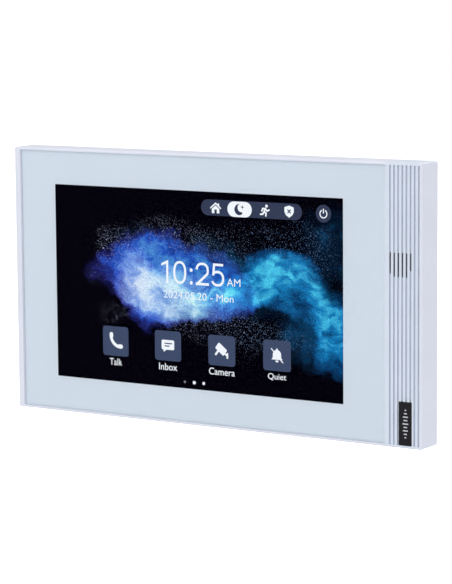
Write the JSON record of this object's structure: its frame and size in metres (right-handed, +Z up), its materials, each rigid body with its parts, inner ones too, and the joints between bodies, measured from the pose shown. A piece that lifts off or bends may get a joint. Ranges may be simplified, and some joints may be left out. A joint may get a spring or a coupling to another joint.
{
  "type": "video intercom monitor",
  "caption": "Thin wall-mounted touch screen intercom station with a white casing, a vertically ribbed speaker strip on the right, a hook-on steel wall bracket and rear connectors.",
  "frame": {"origin": "on the wall plane (the back face of the steel bracket), at the centre of the casing seen from the front, midway between the two wall-box screws", "axes": "+X to the right for someone looking at the screen, +Y into the wall, +Z up; the screen faces -Y"},
  "size_m": [0.217, 0.0286, 0.1238],
  "materials": {
    "white_plastic": "fine-grained moulded white plastic",
    "cover_plastic": "spark-eroded white plastic",
    "badge": "gloss black",
    "glass": "polished",
    "screen": "polarising film",
    "bracket_steel": "galvanised",
    "chassis_steel": "galvanised",
    "stainless": "stainless strip",
    "screws": "nickel plated",
    "foam": "black foam tape",
    "silicone": "soft silicone",
    "cloth": "acoustic cloth",
    "polyimide": "amber film with copper tracks",
    "films": "optical film",
    "tray_plastic": "white polycarbonate",
    "backlight": "phosphor over white strip",
    "board": "green solder mask",
    "chips": "black epoxy",
    "connector_black": "black nylon",
    "connector_white": "natural nylon",
    "connector_green": "green nylon",
    "gold": "gold flash over brass",
    "ferrite": "sintered ferrite",
    "tape_yellow": "polyester tape over copper wire",
    "capacitor": "aluminium can with black sleeve",
    "button": "white acetal",
    "cone": "polymer film",
    "copper": "enamelled copper wire",
    "magnet": "nickel-plated magnet and steel",
    "microphone": "anodised can",
    "wire": "insulated wire",
    "label": "blank silver label"
  },
  "bodies": {
    "bracket": {"wall_bracket": "bracket_steel"},
    "monitor": {"rear_cover": "cover_plastic", "rear_cover_screws": "screws", "rating_label": "label", "front_frame": "white_plastic", "badge_plate": "badge", "cover_glass": "glass", "glass_tape": "foam", "touch_sensor": "glass", "touch_cable": "polyimide", "lcd_gasket": "foam", "lcd_bezel": "stainless", "lcd_cell": "screen", "display_cables": "polyimide", "optical_films": "films", "light_guide": "films", "reflector_sheet": "films", "backlight_leds": "backlight", "backlight_tray": "tray_plastic", "chassis_plate": "chassis_steel", "chassis_screws": "screws", "board_standoffs": "chassis_steel", "main_board": "board", "board_screws": "screws", "processor": "chips", "support_chips": "chips", "shield_can": "chassis_steel", "thermal_pad": "silicone", "inductors": "chips", "wifi_module": "chassis_steel", "wifi_antenna": "polyimide", "antenna_cable": "wire", "board_connectors": "connector_white", "transformer": "ferrite", "transformer_winding": "tape_yellow", "capacitors": "capacitor", "jack_shell": "stainless", "jack_insert": "connector_black", "jack_contacts": "gold", "io_header": "connector_black", "header_pins": "gold", "power_socket": "connector_green", "reset_switch": "connector_black", "speaker_box": "connector_black", "speaker_screws": "screws", "speaker_gasket": "foam", "speaker_cloth": "cloth", "speaker_basket": "connector_black", "speaker_surround": "cone", "speaker_magnet": "magnet", "speaker_yoke": "magnet", "microphone": "microphone", "microphone_boot": "silicone", "audio_leads": "wire"},
    "speaker_cone": {"speaker_diaphragm": "cone", "speaker_coil": "copper"},
    "reset_key": {"reset_button": "button"},
    "plug": {"power_plug": "connector_green"},
    "clamp_left": {"clamp_screw_left": "screws"},
    "clamp_right": {"clamp_screw_right": "screws"}
  },
  "joints": [
    {"name": "lift_off_bracket", "type": "slide", "parent": "bracket", "child": "monitor", "axis": [0, 0, 1], "range_m": [0, 0.007]},
    {"name": "speaker_cone_stroke", "type": "slide", "parent": "monitor", "child": "speaker_cone", "axis": [0, -1, 0], "range_m": [-0.0004, 0.0004], "stiffness_N_per_m": 5},
    {"name": "reset_press", "type": "slide", "parent": "monitor", "child": "reset_key", "axis": [0, -1, 0], "range_m": [0, 0.0004], "stiffness_N_per_m": 2},
    {"name": "power_plug_pull", "type": "slide", "parent": "monitor", "child": "plug", "axis": [0, 1, 0], "range_m": [0, 0.009]},
    {"name": "clamp_left_turn", "type": "hinge", "parent": "plug", "child": "clamp_left", "pos_m": [-0.01354, 0.00822, -0.02], "axis": [0, 0, -1], "continuous": true},
    {"name": "clamp_right_turn", "type": "hinge", "parent": "plug", "child": "clamp_right", "pos_m": [-0.00846, 0.00822, -0.02], "axis": [0, 0, -1], "continuous": true}
  ]
}
